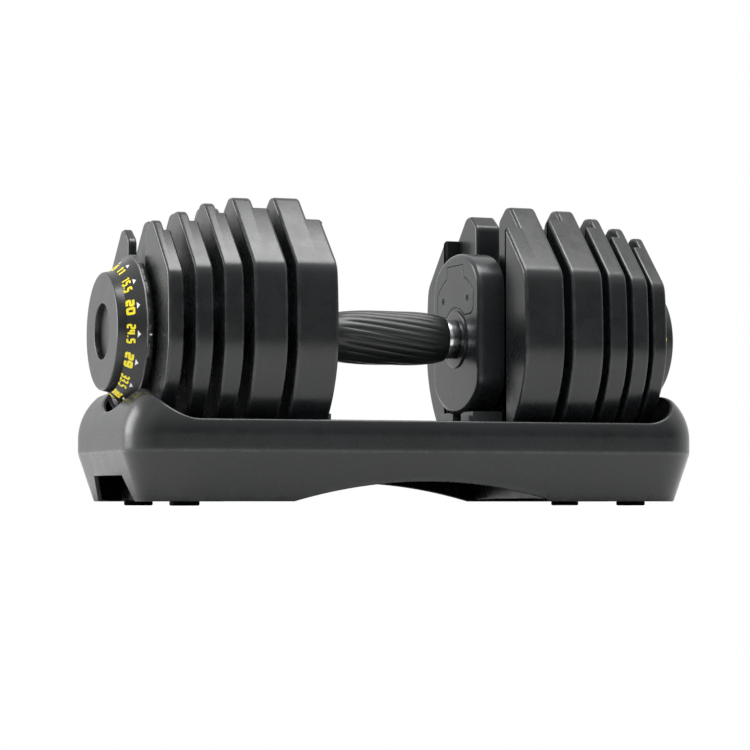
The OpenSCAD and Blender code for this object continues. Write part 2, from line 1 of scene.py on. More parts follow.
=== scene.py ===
import json
import math
import bmesh
import bpy
import numpy as np
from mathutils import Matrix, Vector


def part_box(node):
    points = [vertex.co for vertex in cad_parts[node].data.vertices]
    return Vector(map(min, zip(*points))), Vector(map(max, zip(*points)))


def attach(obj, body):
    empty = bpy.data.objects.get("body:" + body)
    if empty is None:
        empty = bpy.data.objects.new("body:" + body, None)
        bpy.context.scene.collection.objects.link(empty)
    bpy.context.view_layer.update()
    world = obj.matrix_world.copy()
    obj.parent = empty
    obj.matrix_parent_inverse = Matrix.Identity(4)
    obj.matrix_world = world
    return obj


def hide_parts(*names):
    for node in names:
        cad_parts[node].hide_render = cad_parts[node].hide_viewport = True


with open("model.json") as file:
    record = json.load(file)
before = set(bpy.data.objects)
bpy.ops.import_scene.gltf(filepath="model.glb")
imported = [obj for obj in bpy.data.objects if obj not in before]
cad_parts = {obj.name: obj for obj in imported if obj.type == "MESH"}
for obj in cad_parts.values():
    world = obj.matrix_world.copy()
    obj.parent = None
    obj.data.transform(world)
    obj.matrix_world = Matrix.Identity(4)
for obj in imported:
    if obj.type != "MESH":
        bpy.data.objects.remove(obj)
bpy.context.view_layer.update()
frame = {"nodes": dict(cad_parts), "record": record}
record = frame["record"]
bodyOf = {node: body for body, nodes in record["behaviour"]["bodies"].items() for node in nodes}
sides = (("left", True), ("right", False))
print("frame loaded")


# lowest and highest corner of a CAD node, in millimetres
def span(node):
    low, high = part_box(node)
    return np.array(low) * 1000, np.array(high) * 1000


axisZ = float(sum(span("handle_tube"))[2] / 2)


# sRGB hex to the linear colour that the shader wants
def linear(code):
    parts = [int(code[i:i + 2], 16) / 255 for i in (1, 3, 5)]
    return tuple(c / 12.92 if c <= 0.04045 else ((c + 0.055) / 1.055) ** 2.4 for c in parts) + (1.0,)


# one node with its settings; an input is a number, a colour or the output that feeds it
def addNode(tree, kind, inputs=None, **settings):
    node = tree.nodes.new(kind)
    for key, value in settings.items():
        setattr(node, key, value)
    for key, value in (inputs or {}).items():
        if isinstance(value, bpy.types.NodeSocket):
            tree.links.new(value, node.inputs[key])
        else:
            node.inputs[key].default_value = value
    return node


def newMaterial(name):
    material = bpy.data.materials.new(name)
    material.use_nodes = True
    tree = material.node_tree
    tree.nodes.clear()
    shader = addNode(tree, "ShaderNodeBsdfPrincipled")
    addNode(tree, "ShaderNodeOutputMaterial", {"Surface": shader.outputs[0]})
    place = addNode(tree, "ShaderNodeTexCoord").outputs["Object"]
    return material, tree, shader, place


# noise whose patches are about size millimetres across
def patches(tree, place, size, detail=3.0, rough=0.55):
    return addNode(tree, "ShaderNodeTexNoise", {"Vector": place, "Scale": 1000 / size, "Detail": detail,
                                                "Roughness": rough}).outputs["Fac"]


def ramp(tree, value, fromLow, fromHigh, toLow, toHigh):
    return addNode(tree, "ShaderNodeMapRange", {"Value": value, "From Min": fromLow, "From Max": fromHigh,
                                                "To Min": toLow, "To Max": toHigh}).outputs[0]


def blendColour(tree, factor, first, second):
    return addNode(tree, "ShaderNodeMix", {0: factor, 6: first, 7: second}, data_type="RGBA").outputs[2]


def times(tree, first, second):
    return addNode(tree, "ShaderNodeMath", {0: first, 1: second}, operation="MULTIPLY").outputs[0]


# moulded or coated surface: two close tones in broad patches, handled spots that change the gloss,
# a fine grain in the bump, and edges (the wear attribute) rubbed a little lighter and smoother
def coated(name, tone, otherTone, rubbed, gloss, glossSpread, grain, grainDepth, patch=70.0, wearAmount=0.5,
           specular=0.5):
    material, tree, shader, place = newMaterial(name)
    broad = ramp(tree, patches(tree, place, patch), 0.35, 0.65, 0.0, 1.0)
    worn = addNode(tree, "ShaderNodeAttribute", attribute_name="wear").outputs["Fac"]
    rubs = ramp(tree, patches(tree, place, 9.0, 4.0), 0.38, 0.62, 0.25, 1.0)
    wearHere = times(tree, times(tree, worn, rubs), wearAmount)
    body = blendColour(tree, broad, linear(tone), linear(otherTone))
    tree.links.new(blendColour(tree, wearHere, body, linear(rubbed)), shader.inputs["Base Color"])
    handled = patches(tree, place, 16.0, 5.0, 0.6)
    spots = ramp(tree, handled, 0.3, 0.7, gloss - glossSpread, gloss + glossSpread)
    smooth = addNode(tree, "ShaderNodeMath", {0: spots, 1: times(tree, wearHere, 0.12)}, operation="SUBTRACT")
    tree.links.new(smooth.outputs[0], shader.inputs["Roughness"])
    height = patches(tree, place, grain, 2.0)
    bump = addNode(tree, "ShaderNodeBump", {"Height": height, "Strength": 0.35,
                                            "Distance": grainDepth / 1000})
    tree.links.new(bump.outputs[0], shader.inputs["Normal"])
    shader.inputs["IOR"].default_value = 1.5
    shader.inputs["Specular IOR Level"].default_value = specular
    return material


# turned or plated metal: fine lines round the handle's axis, uneven polish and faint stains
def metal(name, tone, otherTone, gloss, glossSpread, lineWidth=0.25, lineDepth=0.004):
    material, tree, shader, place = newMaterial(name)
    broad = ramp(tree, patches(tree, place, 22.0, 4.0), 0.35, 0.65, 0.0, 1.0)
    tree.links.new(blendColour(tree, broad, linear(tone), linear(otherTone)), shader.inputs["Base Color"])
    spots = ramp(tree, patches(tree, place, 6.0, 4.0), 0.3, 0.7, gloss - glossSpread, gloss + glossSpread)
    tree.links.new(spots, shader.inputs["Roughness"])
    stretched = addNode(tree, "ShaderNodeMapping", {"Vector": place, "Scale": (1000 / lineWidth, 30.0, 30.0)})
    lines = addNode(tree, "ShaderNodeTexNoise", {"Vector": stretched.outputs[0], "Scale": 1.0, "Detail": 2.0})
    bump = addNode(tree, "ShaderNodeBump", {"Height": lines.outputs["Fac"], "Strength": 0.6,
                                            "Distance": lineDepth / 1000})
    tree.links.new(bump.outputs[0], shader.inputs["Normal"])
    shader.inputs["Metallic"].default_value = 1.0
    return material


# printed ink: a solid tone a little thinner here and there
def ink(name, tone, thinTone):
    material, tree, shader, place = newMaterial(name)
    thin = ramp(tree, patches(tree, place, 2.5, 3.0), 0.4, 0.75, 0.0, 1.0)
    tree.links.new(blendColour(tree, thin, linear(tone), linear(thinTone)), shader.inputs["Base Color"])
    tree.links.new(ramp(tree, thin, 0.0, 1.0, 0.4, 0.55), shader.inputs["Roughness"])
    return material


# the two tones and the rubbed edge tone; then gloss and its spread, grain size and depth in mm, and where
# they differ from the usual, patch size in mm, amount of wear and specular level
trayPlastic = coated("glass filled nylon, satin moulded", "#151718", "#191B1D", "#3A3D40",
                     0.28, 0.04, 0.45, 0.006)
platePaint = coated("cast iron, black satin coat", "#141617", "#191B1D", "#3C3F42",
                    0.28, 0.05, 0.7, 0.007, 45.0)
dialPlastic = coated("ABS, black fine texture", "#151617", "#1A1B1C", "#2C2E30",
                     0.32, 0.05, 0.35, 0.008, 30.0)
hubPlastic = coated("ABS, dark grey satin", "#222426", "#27292B", "#3A3D40",
                    0.27, 0.04, 0.4, 0.004, 35.0, 0.5, 0.42)
restPlastic = coated("polypropylene, grey moulded", "#55585A", "#5E6163", "#6E7173",
                     0.42, 0.06, 0.5, 0.012)
blackPlastic = coated("polypropylene, black moulded", "#161718", "#1B1C1D", "#2A2B2C",
                      0.42, 0.06, 0.5, 0.012)
nylonRing = coated("nylon, black turned", "#0E0F10", "#131415", "#242527",
                   0.34, 0.05, 0.3, 0.006, 12.0)
gripRubber = coated("rubber, moulded with spiral ribs", "#191B1C", "#1F2122", "#2E3132",
                    0.36, 0.07, 0.3, 0.012, 18.0)
footRubber = coated("rubber, matte foot", "#0C0D0E", "#121314", "#1D1E1F",
                    0.75, 0.08, 0.6, 0.02, 8.0, 0.5, 0.15)
screwBlack = metal("steel screw, black oxide", "#1C1C1D", "#262627", 0.42, 0.08)
satinSteel = metal("steel tube, satin turned", "#C9CBCD", "#B9BCBF", 0.22, 0.05)
zincSteel = metal("steel, zinc plated", "#B4B7BA", "#A3A7AA", 0.34, 0.08, 0.5, 0.006)
discSteel = metal("steel disc, phosphated", "#5E6164", "#4E5154", 0.45, 0.08, 0.6, 0.008)
yellowInk = ink("printing ink, yellow", "#FBEA22", "#F0DA24")
whiteInk = ink("printing ink, white", "#F4F4F2", "#E2E2E0")
print("materials made")


# joins (points, faces, marks) parts into one
def join(*parts):
    starts = np.cumsum([0] + [len(part[0]) for part in parts])
    faces = [[i + start for i in face] for part, start in zip(parts, starts) for face in part[1]]
    return np.vstack([part[0] for part in parts]), faces, np.concatenate([part[2] for part in parts])


# closed loops (k, n, 3) joined one to the next; caps close the ends, wrap joins the last loop to the first
def rings(rows, marks=None, caps=(True, True), wrap=False):
    count, around = rows.shape[:2]
    index = np.arange(count * around).reshape(count, around)
    near, far = (index, np.roll(index, -1, 0)) if wrap else (index[:-1], index[1:])
    faces = np.stack([near, np.roll(near, -1, 1), np.roll(far, -1, 1), far], -1).reshape(-1, 4).tolist()
    faces += [] if wrap or not caps[0] else [index[0, ::-1].tolist()]
    faces += [] if wrap or not caps[1] else [index[-1].tolist()]
    marks = np.zeros(count) if marks is None else np.asarray(marks, float)
    return rows.reshape(-1, 3), faces, np.repeat(marks, around)


# points on a circle from one angle to another, in degrees
def arc(radius, start, end, count, centre=(0.0, 0.0)):
    turn = np.radians(np.linspace(start, end, count))
    return np.c_[centre[0] + radius * np.cos(turn), centre[1] + radius * np.sin(turn)]


# each corner becomes a short curve from one side to the other: start, corner and end weighted by
# (1-t)^2, 2t(1-t) and t^2; radius is one number or one for each corner, and 0 leaves the corner alone
def rounded(points, radius, steps=5):
    points = np.asarray(points, float)
    radius = np.broadcast_to(np.asarray(radius, float), len(points))
    back, ahead = np.roll(points, 1, 0) - points, np.roll(points, -1, 0) - points
    backLength, aheadLength = np.linalg.norm(back, axis=1), np.linalg.norm(ahead, axis=1)
    back, ahead = back / backLength[:, None], ahead / aheadLength[:, None]
    half = np.arccos(np.clip((back * ahead).sum(1), -1, 1)) / 2
    cut = np.minimum(radius / np.maximum(np.tan(half), 1e-6), 0.45 * np.minimum(backLength, aheadLength))
    t = np.linspace(0, 1, steps)[None, :, None]
    start, end = (points + back * cut[:, None])[:, None], (points + ahead * cut[:, None])[:, None]
    curve = start * (1 - t) ** 2 + 2 * t * (1 - t) * points[:, None] + end * t ** 2
    keep = np.where(cut[:, None] > 1e-4, True, np.arange(steps)[None] == 0)
    return curve[keep]


# moves a counter-clockwise loop inward; each point goes along the mitre of the two sides that meet there
def inset(loop, distance):
    before, after = loop - np.roll(loop, 1, 0), np.roll(loop, -1, 0) - loop
    before /= np.linalg.norm(before, axis=1)[:, None]
    after /= np.linalg.norm(after, axis=1)[:, None]
    first, second = np.c_[before[:, 1], -before[:, 0]], np.c_[after[:, 1], -after[:, 0]]
    mitre = (first + second) / (1 + (first * second).sum(1))[:, None]
    return loop - mitre * distance


# depth, inset and wear mark of each row of a slab; a rounded edge follows a quarter circle
def edgeRows(depth, front, back, band, steps=3):
    turn = np.linspace(0, math.pi / 2, steps + 1)
    ones = np.ones(steps + 1)
    head = [[0, front + band, 0], *np.c_[front * (1 - np.cos(turn)), front * (1 - np.sin(turn)), ones],
            [front + band, 0, 0]] if front else [[0, 0, 0]]
    turn = turn[::-1]
    tail = [[depth - back - band, 0, 0],
            *np.c_[depth - back * (1 - np.cos(turn)), back * (1 - np.sin(turn)), ones],
            [depth, back + band, 0]] if back else [[depth, 0, 0]]
    return np.array(head + tail, float)


# a flat outline (y, height over centre) stacked along X from start, by rows of depth, inset and wear mark
def layers(loop, start, rows, caps=(True, True), centre=axisZ):
    stack = np.stack([np.c_[np.full(len(loop), start + row[0]), inset(loop, row[1])] for row in rows])
    stack[:, :, 2] += centre
    return rings(stack, [row[2] for row in rows], caps)


# the same outline carried from low to high, with its edges rounded
def slab(loop, low, high, front=1.0, back=1.0, band=1.0, centre=axisZ):
    return layers(loop, low, edgeRows(high - low, front, back, band), centre=centre)


# a profile (place along the axis, radius) carried round it; wave changes the radius by place and angle
def turned(profile, marks=None, around=192, wrap=False, upright=None, wave=None):
    profile = np.asarray(profile, float)
    turn = np.linspace(0, 2 * math.pi, around, endpoint=False)[None]
    along, radius = np.broadcast_arrays(profile[:, :1], turn)[0], profile[:, 1:] + 0 * turn
    if wave is not None:
        radius = wave(along, turn + 0 * radius, radius)
    if upright is None:
        rows = np.stack([along, radius * np.cos(turn), axisZ + radius * np.sin(turn)], -1)
    else:
        rows = np.stack([upright[0] + radius * np.cos(turn), upright[1] + radius * np.sin(turn), along], -1)
    return rings(rows, marks, wrap=wrap)


# a box with rounded edges between two corners
def block(low, high, edge=0.5):
    middle, halfSize = (low[2] + high[2]) / 2, (high[2] - low[2]) / 2
    corners = [[low[1], -halfSize], [high[1], -halfSize], [high[1], halfSize], [low[1], halfSize]]
    loop = rounded(corners, edge * 1.6, 4)
    return slab(loop, low[0], high[0], edge, edge, edge * 0.3, centre=middle)


# a part becomes an object that rides on its node's body and stands for that node
def makePiece(name, part, material, node, mirror=False, stands=True, fill=False, sharp=32):
    points, faces, marks = part
    mesh = bpy.data.meshes.new(name)
    mesh.from_pydata(points * (-0.001 if mirror else 0.001, 0.001, 0.001), [], faces)
    mesh.attributes.new("wear", "FLOAT", "POINT").data.foreach_set("value", marks.astype(np.float32))
    form = bmesh.new()
    form.from_mesh(mesh)
    if fill:
        bmesh.ops.remove_doubles(form, verts=form.verts, dist=1e-7)
        rim = [edge for edge in form.edges if edge.is_boundary]
        bmesh.ops.triangle_fill(form, use_beauty=True, edges=rim)
    bmesh.ops.recalc_face_normals(form, faces=form.faces)
    form.to_mesh(mesh)
    form.free()
    mesh.polygons.foreach_set("use_smooth", np.ones(len(mesh.polygons), bool))
    mesh.set_sharp_from_angle(angle=math.radians(sharp))
    mesh.materials.append(material)
    piece = bpy.data.objects.new(name, mesh)
    bpy.context.scene.collection.objects.link(piece)
    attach(piece, bodyOf[node])
    if stands:
        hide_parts(node)
    return piece


# tray shell: sizes in mm
tray = {"corner": 38.0, "bottomInset": 12.0, "crease": 38.4, "creaseSoftness": 0.7, "leanStart": 49.0,
        "leanRadius": 41.0, "rim": 61.0, "lobe": 84.0, "riseReach": 93.7, "riseLength": 60.0, "wall": 3.5,
        "edge": 0.9, "floorTop": 27.5, "floorLow": 24.0, "archHalf": 101.0, "archRise": 14.3,
        "notchHalf": 37.0, "notchTop": 21.5, "notchFlare": 12.0, "dialRadius": 58.0, "dialReach": 36.0,
        "saddleReach": 16.7, "saddleWide": 3.0, "footSocket": 12.7, "ribWide": 2.4, "ribStop": 15.0}
trayLow, trayHigh = span("base_shell")
baseX, baseY, bottomZ = trayHigh[0], trayHigh[1], trayLow[2]


# how far the outer wall stands in at each height: a straight lean below the crease (blended by
# log(1+exp)), none up to leanStart, then a circle of leanRadius
def wallInset(z):
    soft = tray["creaseSoftness"]
    below = np.logaddexp(0, (tray["crease"] - z) / soft) * soft
    over = np.clip(z - tray["leanStart"], 0, tray["leanRadius"] * 0.99)
    return (tray["bottomInset"] / (tray["crease"] - bottomZ) * below
            + tray["leanRadius"] - np.sqrt(tray["leanRadius"] ** 2 - over ** 2))


# rim height over a place in plan: a smooth rise 3t^2-2t^3 along a diagonal, cut by the dial's circle
def rimHeight(x, y):
    t = np.clip((abs(x) - 0.5 * abs(y) - (baseX - tray["riseReach"])) / tray["riseLength"], 0, 1)
    rise = tray["rim"] + (tray["lobe"] - tray["rim"]) * t * t * (3 - 2 * t)
    reach = np.sqrt(np.clip(tray["dialRadius"] ** 2 - y ** 2, 0, None))
    cut = np.where((reach > 0) & (abs(x) > baseX - tray["dialReach"]), axisZ - reach, 1e3)
    return np.minimum(rise, cut)


# stations round the shell: corner centre and outward direction; an inset is a shorter step outward.
# They stand closer where the rim rises along the sides and where it meets a dial at the ends
def trayStations():
    cx, cy = baseX - tray["corner"], baseY - tray["corner"]
    reach = tray["archHalf"]
    nearEnd, nearNotch = np.linspace(110, cx, 30), np.linspace(36, 46, 21)
    alongX = np.unique(np.round(np.r_[np.linspace(-cx, cx, 93), [-reach, reach], nearEnd, -nearEnd], 4))
    notch, flared = tray["notchHalf"], tray["notchHalf"] + tray["notchFlare"] - 1.2
    alongY = np.unique(np.round(np.r_[np.linspace(-cy, cy, 61), [-notch, notch, -flared, flared],
                                      nearNotch, -nearNotch], 4))
    corner = np.radians(np.linspace(-90, 0, 27)[1:-1])
    stations = []
    for turn in range(4):
        side, centre = (alongX, cy) if turn % 2 == 0 else (alongY, cx)
        limit = cx if turn % 2 == 0 else cy
        straight = np.c_[side, np.full(len(side), -centre), np.zeros(len(side)), -np.ones(len(side))]
        bend = np.c_[np.full(len(corner), limit), np.full(len(corner), -centre),
                     np.cos(corner), np.sin(corner)]
        part = np.vstack([straight, bend])
        c, s = [(1, 0), (0, 1), (-1, 0), (0, -1)][turn]
        stations.append(np.c_[part[:, 0] * c - part[:, 1] * s, part[:, 0] * s + part[:, 1] * c,
                              part[:, 2] * c - part[:, 3] * s, part[:, 2] * s + part[:, 3] * c])
    return np.vstack(stations)


def makeTray():
    st = trayStations()
    centre, out = st[:, :2], st[:, 2:]

    def place(shift, z):
        flat = centre + out * (tray["corner"] - shift)[:, None]
        return np.c_[flat, np.broadcast_to(z, len(flat))]

    low, high = np.full(len(st), tray["leanStart"]), np.full(len(st), tray["lobe"] + 1.0)
    for _ in range(30):  # halves the range in which the wall meets the rim
        middle = (low + high) / 2
        spot = place(wallInset(middle), middle)
        under = middle < rimHeight(spot[:, 0], spot[:, 1])
        low, high = np.where(under, middle, low), np.where(under, high, middle)
    top = low
    edge = place(wallInset(np.full(len(st), bottomZ)), bottomZ)
    radius = (tray["archHalf"] ** 2 + tray["archRise"] ** 2) / (2 * tray["archRise"])
    arch = bottomZ + tray["archRise"] - radius + np.sqrt(np.clip(radius ** 2 - edge[:, 0] ** 2, 0, None))
    arch = np.where(abs(edge[:, 0]) < tray["archHalf"], arch, bottomZ)
    atEnd = abs(out[:, 0]) > 0.999
    slope = (tray["notchTop"] - bottomZ + 2) / tray["notchFlare"]
    notch = np.clip(bottomZ - 2 + (tray["notchHalf"] + tray["notchFlare"] - abs(edge[:, 1])) * slope,
                    bottomZ, tray["notchTop"])
    foot = np.maximum(np.maximum(arch, bottomZ), np.where(atEnd, notch, bottomZ))
    wall, e = tray["wall"], tray["edge"]
    rows, marks = [], []

    def add(shift, z, mark=0.0):
        rows.append(place(shift + 0 * foot, z + 0 * foot))
        marks.append(mark)

    ceiling = np.full(len(st), tray["floorLow"])
    add(wallInset(ceiling) + wall, ceiling)
    add(wallInset(foot + e) + wall, foot + np.minimum(e, tray["floorLow"] - foot - 0.1))
    add(wallInset(foot) + wall - e, foot, 1)
    add(wallInset(foot) + e, foot, 1)
    add(wallInset(foot + 0.3 * e) + 0.3 * e, foot + 0.3 * e, 1)
    add(wallInset(foot + e), foot + e, 1)
    creaseStart = tray["crease"] - 3.0
    for part in (0.15, 0.4, 0.7, 1.0):
        z = foot + e + (creaseStart - foot - e) * part
        add(wallInset(z), z)
    for step in (-2.0, -1.2, -0.6, 0.0, 0.6, 1.2, 2.0, 3.5, 7.0):
        z = np.full(len(st), tray["crease"] + step)
        add(wallInset(z), z, 1.0 if abs(step) < 1 else 0.0)
    for part in np.linspace(0, 1, 17):
        z = tray["leanStart"] + (top - 2.2 * e - tray["leanStart"]) * part
        add(wallInset(z), z)
    add(wallInset(top - e), top - e, 1)
    add(wallInset(top) + 0.3 * e, top - 0.3 * e, 1)
    add(wallInset(top) + e, top, 1)
    add(wallInset(top) + wall - e, top, 1)
    add(wallInset(top) + wall - 0.3 * e, top - 0.3 * e, 1)
    for part in np.linspace(1, 0, 9):
        z = tray["leanStart"] + (top - e - tray["leanStart"]) * part
        add(wallInset(z) + wall, z)
    for z in (tray["crease"] + 2, tray["crease"], tray["crease"] - 2, tray["floorTop"] + 1.5):
        add(wallInset(np.full(len(st), z)) + wall, z)
    add(wallInset(ceiling) + wall + 0.5, tray["floorTop"] + 0.5)
    add(wallInset(ceiling) + wall + 1.6, tray["floorTop"])
    parts = [rings(np.stack(rows), marks)]
    socket = tray["footSocket"]
    column = [[bottomZ, socket - 0.8], [bottomZ + 0.8, socket], [tray["floorLow"] + 0.5, socket]]
    parts += [turned(column, [1, 1, 0], 64, upright=spot) for spot in footCentres()]
    halfRib, ribEnd = tray["ribWide"] / 2, baseY - tray["ribStop"]
    for side in (-1, 1):
        for x in ribPlaces():
            parts.append(block((side * x - halfRib, -ribEnd, bottomZ + 2),
                               (side * x + halfRib, ribEnd, tray["floorLow"] + 0.5), 0.4))
    for side in (-1, 1):
        x = side * (baseX - tray["saddleReach"]) - tray["saddleWide"] / 2
        parts.append(slab(saddleLoop(), x, x + tray["saddleWide"], 0.4, 0.4, 0.2, centre=0.0))
    makePiece("tray_shell", join(*parts), trayPlastic, "base_shell", sharp=28)


# saddle rib under a dial: its top follows the rim, or stays inside the leaning wall where that is lower
def saddleLoop():
    x = baseX - tray["saddleReach"]
    cx, cy, radius = baseX - tray["corner"], baseY - tray["corner"], tray["leanRadius"]
    inside = tray["corner"] - tray["wall"] / 2
    reach = cy + math.sqrt(inside ** 2 - (x - cx) ** 2)
    count, lowReach = 121, reach - 5
    y = np.linspace(reach, -reach, count)
    over = inside - np.hypot(x - cx, np.clip(abs(y) - cy, 0, None))
    wall = tray["leanStart"] + np.sqrt(np.clip(radius ** 2 - (radius - over) ** 2, 0, None))
    top = np.minimum(rimHeight(np.full(count, x), y), wall)
    low = tray["floorTop"] - 0.5
    return np.vstack([[[-lowReach, low], [lowReach, low]], np.c_[y, top]])


# rubber feet, in mm: a low disc with a soft edge and a well for its screw
feet = {"radius": 10.7, "high": 3.0, "wellRadius": 4.0, "wellDeep": 1.4, "screwHole": 1.8}


def footCentres():
    x, y = span("rubber_feet")[1][:2] - feet["radius"]
    return [(sx * x, sy * y) for sx in (-1, 1) for sy in (-1, 1)]


def ribPlaces():
    return [(span(f"plate_{i}_right")[1][0] + span(f"plate_{i + 1}_right")[0][0]) / 2 for i in (1, 3)]


def makeFeet():
    r, high, well = feet["radius"], feet["high"], feet["wellRadius"]
    deep, hole = feet["wellDeep"], feet["screwHole"]
    profile = [[0.0, well], [0.0, r - 1.1], [0.15, r - 0.5], [0.7, r], [high - 0.3, r], [high, r - 0.3],
               [high, hole], [deep, hole], [deep, well]]
    marks = [0, 1, 1, 1, 0, 0, 0, 0, 0]
    parts = [turned(profile, marks, 72, wrap=True, upright=spot) for spot in footCentres()]
    makePiece("feet_detail", join(*parts), footRubber, "rubber_feet")


# stepped seats and divider posts of one side, in mm
cradle = {"base": 3.0, "halfWidth": 62.0, "seatHalf": 27.0, "post": (40.0, 62.0), "postTop": 58.0,
          "postThickness": 3.0, "edge": 0.6}


def makeCradle(side, mirror):
    bottom, top = span("plate_cradle_right")
    edge = cradle["edge"]
    parts = [block((bottom[0], -cradle["halfWidth"], bottom[2]),
                   (top[0], cradle["halfWidth"], bottom[2] + cradle["base"]), edge)]
    for i in range(5):
        low, high = span(f"plate_{i + 1}_right")
        inner = low[0] + plates["pad"][i]
        parts.append(block((inner + 0.5, -cradle["seatHalf"], bottom[2]),
                           (high[0] - 1, cradle["seatHalf"], low[2] - 0.2), edge))
        if i < 4:
            x = (high[0] + span(f"plate_{i + 2}_right")[0][0]) / 2
            for sign in (-1, 1):
                near, far = sorted((sign * cradle["post"][0], sign * cradle["post"][1]))
                parts.append(block((x - cradle["postThickness"] / 2, near, bottom[2]),
                                   (x + cradle["postThickness"] / 2, far, cradle["postTop"]), edge))
    makePiece(f"cradle_{side}", join(*parts), blackPlastic, f"plate_cradle_{side}", mirror)


# weight plates: depth and inner edge of each one's pads in mm, shares of the half width for the lower
# circle, the diagonal and the bulge, and rounding of the foot, of the side's top, of the ear's outer and
# inner corner and of the slot's lead
plates = {"pad": (11.0, 10.6, 6.6, 5.9, 4.8), "recess": (57.7, 49.5, 49.5, 49.5, 47.5), "padRound": 1.2,
          "padSwell": 0.03, "padSink": 0.62,
          "lowerCircle": 1.01, "diagonal": 1.0175, "bulge": 3.9, "bend": 15.0, "slot": 21.0,
          "leadWide": 12.5, "leadDeep": 9.0, "rounding": (4, 24, 12, 5, 7), "edge": 2.0, "thinEdge": 1.5,
          "tabHalf": 5.0, "tabTop": 21.0, "tabLow": 31.6, "tabDepth": 3.4}


# right half of a plate's outline from the foot's middle round to the slot's bottom: lower circle, a bend
# (start, corner and end weighted by (1-t)^2, 2t(1-t), t^2), a bulging side y = half - z^2 / 2R, the diagonal
def plateHalf(half, top, low):
    lower, slant = plates["lowerCircle"] * half, plates["diagonal"] * half * math.sqrt(2)
    slot, bulge, turn = plates["slot"], plates["bulge"] * half, math.radians(plates["bend"])
    below = arc(lower, -math.degrees(math.asin(low / lower)), -plates["bend"], 30)
    reach = (half - lower * math.cos(turn)) / math.sin(turn)
    corner = np.array([half, -lower * math.sin(turn) + reach * math.cos(turn)])
    t = np.linspace(0, 1, 8)[1:, None]
    bend = below[-1] * (1 - t) ** 2 + 2 * t * (1 - t) * corner + (corner + (0, reach)) * t ** 2
    z = np.linspace(0, bulge - math.sqrt(bulge ** 2 - 2 * bulge * (slant - half)), 4)
    ear = [[slant - top, top], [slot + plates["leadWide"], top], [slot, top - plates["leadDeep"]],
           *arc(slot, 0, -90, 17)]
    points = np.vstack([below, bend, np.c_[half - z ** 2 / (2 * bulge), z], ear])
    radii = np.zeros(len(points))
    sideTop = len(points) - len(ear) - 1
    radii[0], radii[sideTop:sideTop + 4] = plates["rounding"][0], plates["rounding"][1:]
    return points, radii


def makePlate(i, side, mirror):
    low, high = span(f"plate_{i + 1}_right")
    half, top, bottom = high[1], high[2] - axisZ, axisZ - low[2]
    points, radii = plateHalf(half, top, bottom)
    other = (points * (-1, 1))[::-1][1:]
    loop = rounded(np.vstack([points, other]), np.r_[radii, radii[::-1][1:]])
    inner = low[0] + plates["pad"][i]
    edge = plates["edge"] if i < 2 else plates["thinEdge"]
    parts = [slab(loop, inner, high[0], edge, edge, 0.6)]
    # pad on each flank, from the lower circle to the diagonal side; it sinks a little into the web and
    # stands a hair over its outline, so that the two surfaces don't coincide
    cut = plates["recess"][i]
    rim = rounded(points, radii)
    rim = rim[rim[:, 0] > cut + 0.5]
    lowEnd = [cut, -math.sqrt((plates["lowerCircle"] * half) ** 2 - cut ** 2)]
    highEnd = [cut, plates["diagonal"] * half * math.sqrt(2) - cut]
    flank = np.vstack([lowEnd, rim, highEnd])
    bend = np.zeros(len(flank))
    bend[0] = bend[-1] = plates["padRound"]
    flank = rounded(flank, bend, 4)
    for sign in (1, -1):
        shape = inset(flank if sign > 0 else (flank * (-1, 1))[::-1], -plates["padSwell"])
        parts.append(slab(shape, low[0], inner + edge + plates["padSink"], edge, 0, 0.6))
    parts.append(block((inner - plates["tabDepth"], -plates["tabHalf"], axisZ - plates["tabLow"]),
                       (inner + 2, plates["tabHalf"], axisZ - plates["tabTop"]), 0.5))
    node = f"plate_{i + 1}_{side}"
    makePiece(f"{node}_cast", join(*parts), platePaint, node, mirror)


# ribbed grip: count of ribs, their depth in mm, the turn of a rib from end to end in degrees, and the
# radius at the ends in mm
grip = {"ribs": 20, "depth": 0.95, "twist": 48.0, "fade": 0.42, "ends": 16.8, "rows": 150, "around": 400}


# radius = barrel curve - depth * (1 - |sin|^0.55 of the rib's phase), fading out towards both ends
def makeGrip():
    half, widest = span("grip_sleeve")[1][:2]
    ends = grip["ends"]
    t = np.linspace(-1, 1, grip["rows"])
    profile = np.c_[half * t, widest - (widest - ends) * t ** 4]
    twist = math.radians(grip["twist"])

    def ribs(along, turn, radius):
        phase = grip["ribs"] / 2 * (turn - twist * along / (2 * half))
        share = np.clip((1 - abs(along) / half) / grip["fade"], 0, 1)
        share = share * share * (3 - 2 * share)
        return radius - grip["depth"] * share * (1 - abs(np.sin(phase)) ** 0.55)

    tubeRadius = span("handle_tube")[1][1]
    sleeve = np.vstack([[[-half + 0.01, tubeRadius + 0.05], [-half, ends - 0.6]], profile[1:-1],
                        [[half, ends - 0.6], [half - 0.01, tubeRadius + 0.05]]])
    sleeve[2:-2, 0] *= 0.995
    marks = np.r_[0, 0.5, np.zeros(len(profile) - 2), 0.5, 0]
    makePiece("grip_ribbed", turned(sleeve, marks, grip["around"], wrap=True, wave=ribs), gripRubber,
              "grip_sleeve", sharp=60)


# steel tube, collars and dark bushings, each a turned ring in mm
handle = {"tubeBore": 8.2, "collarBore": 13.1, "bushingWall": 7.6}


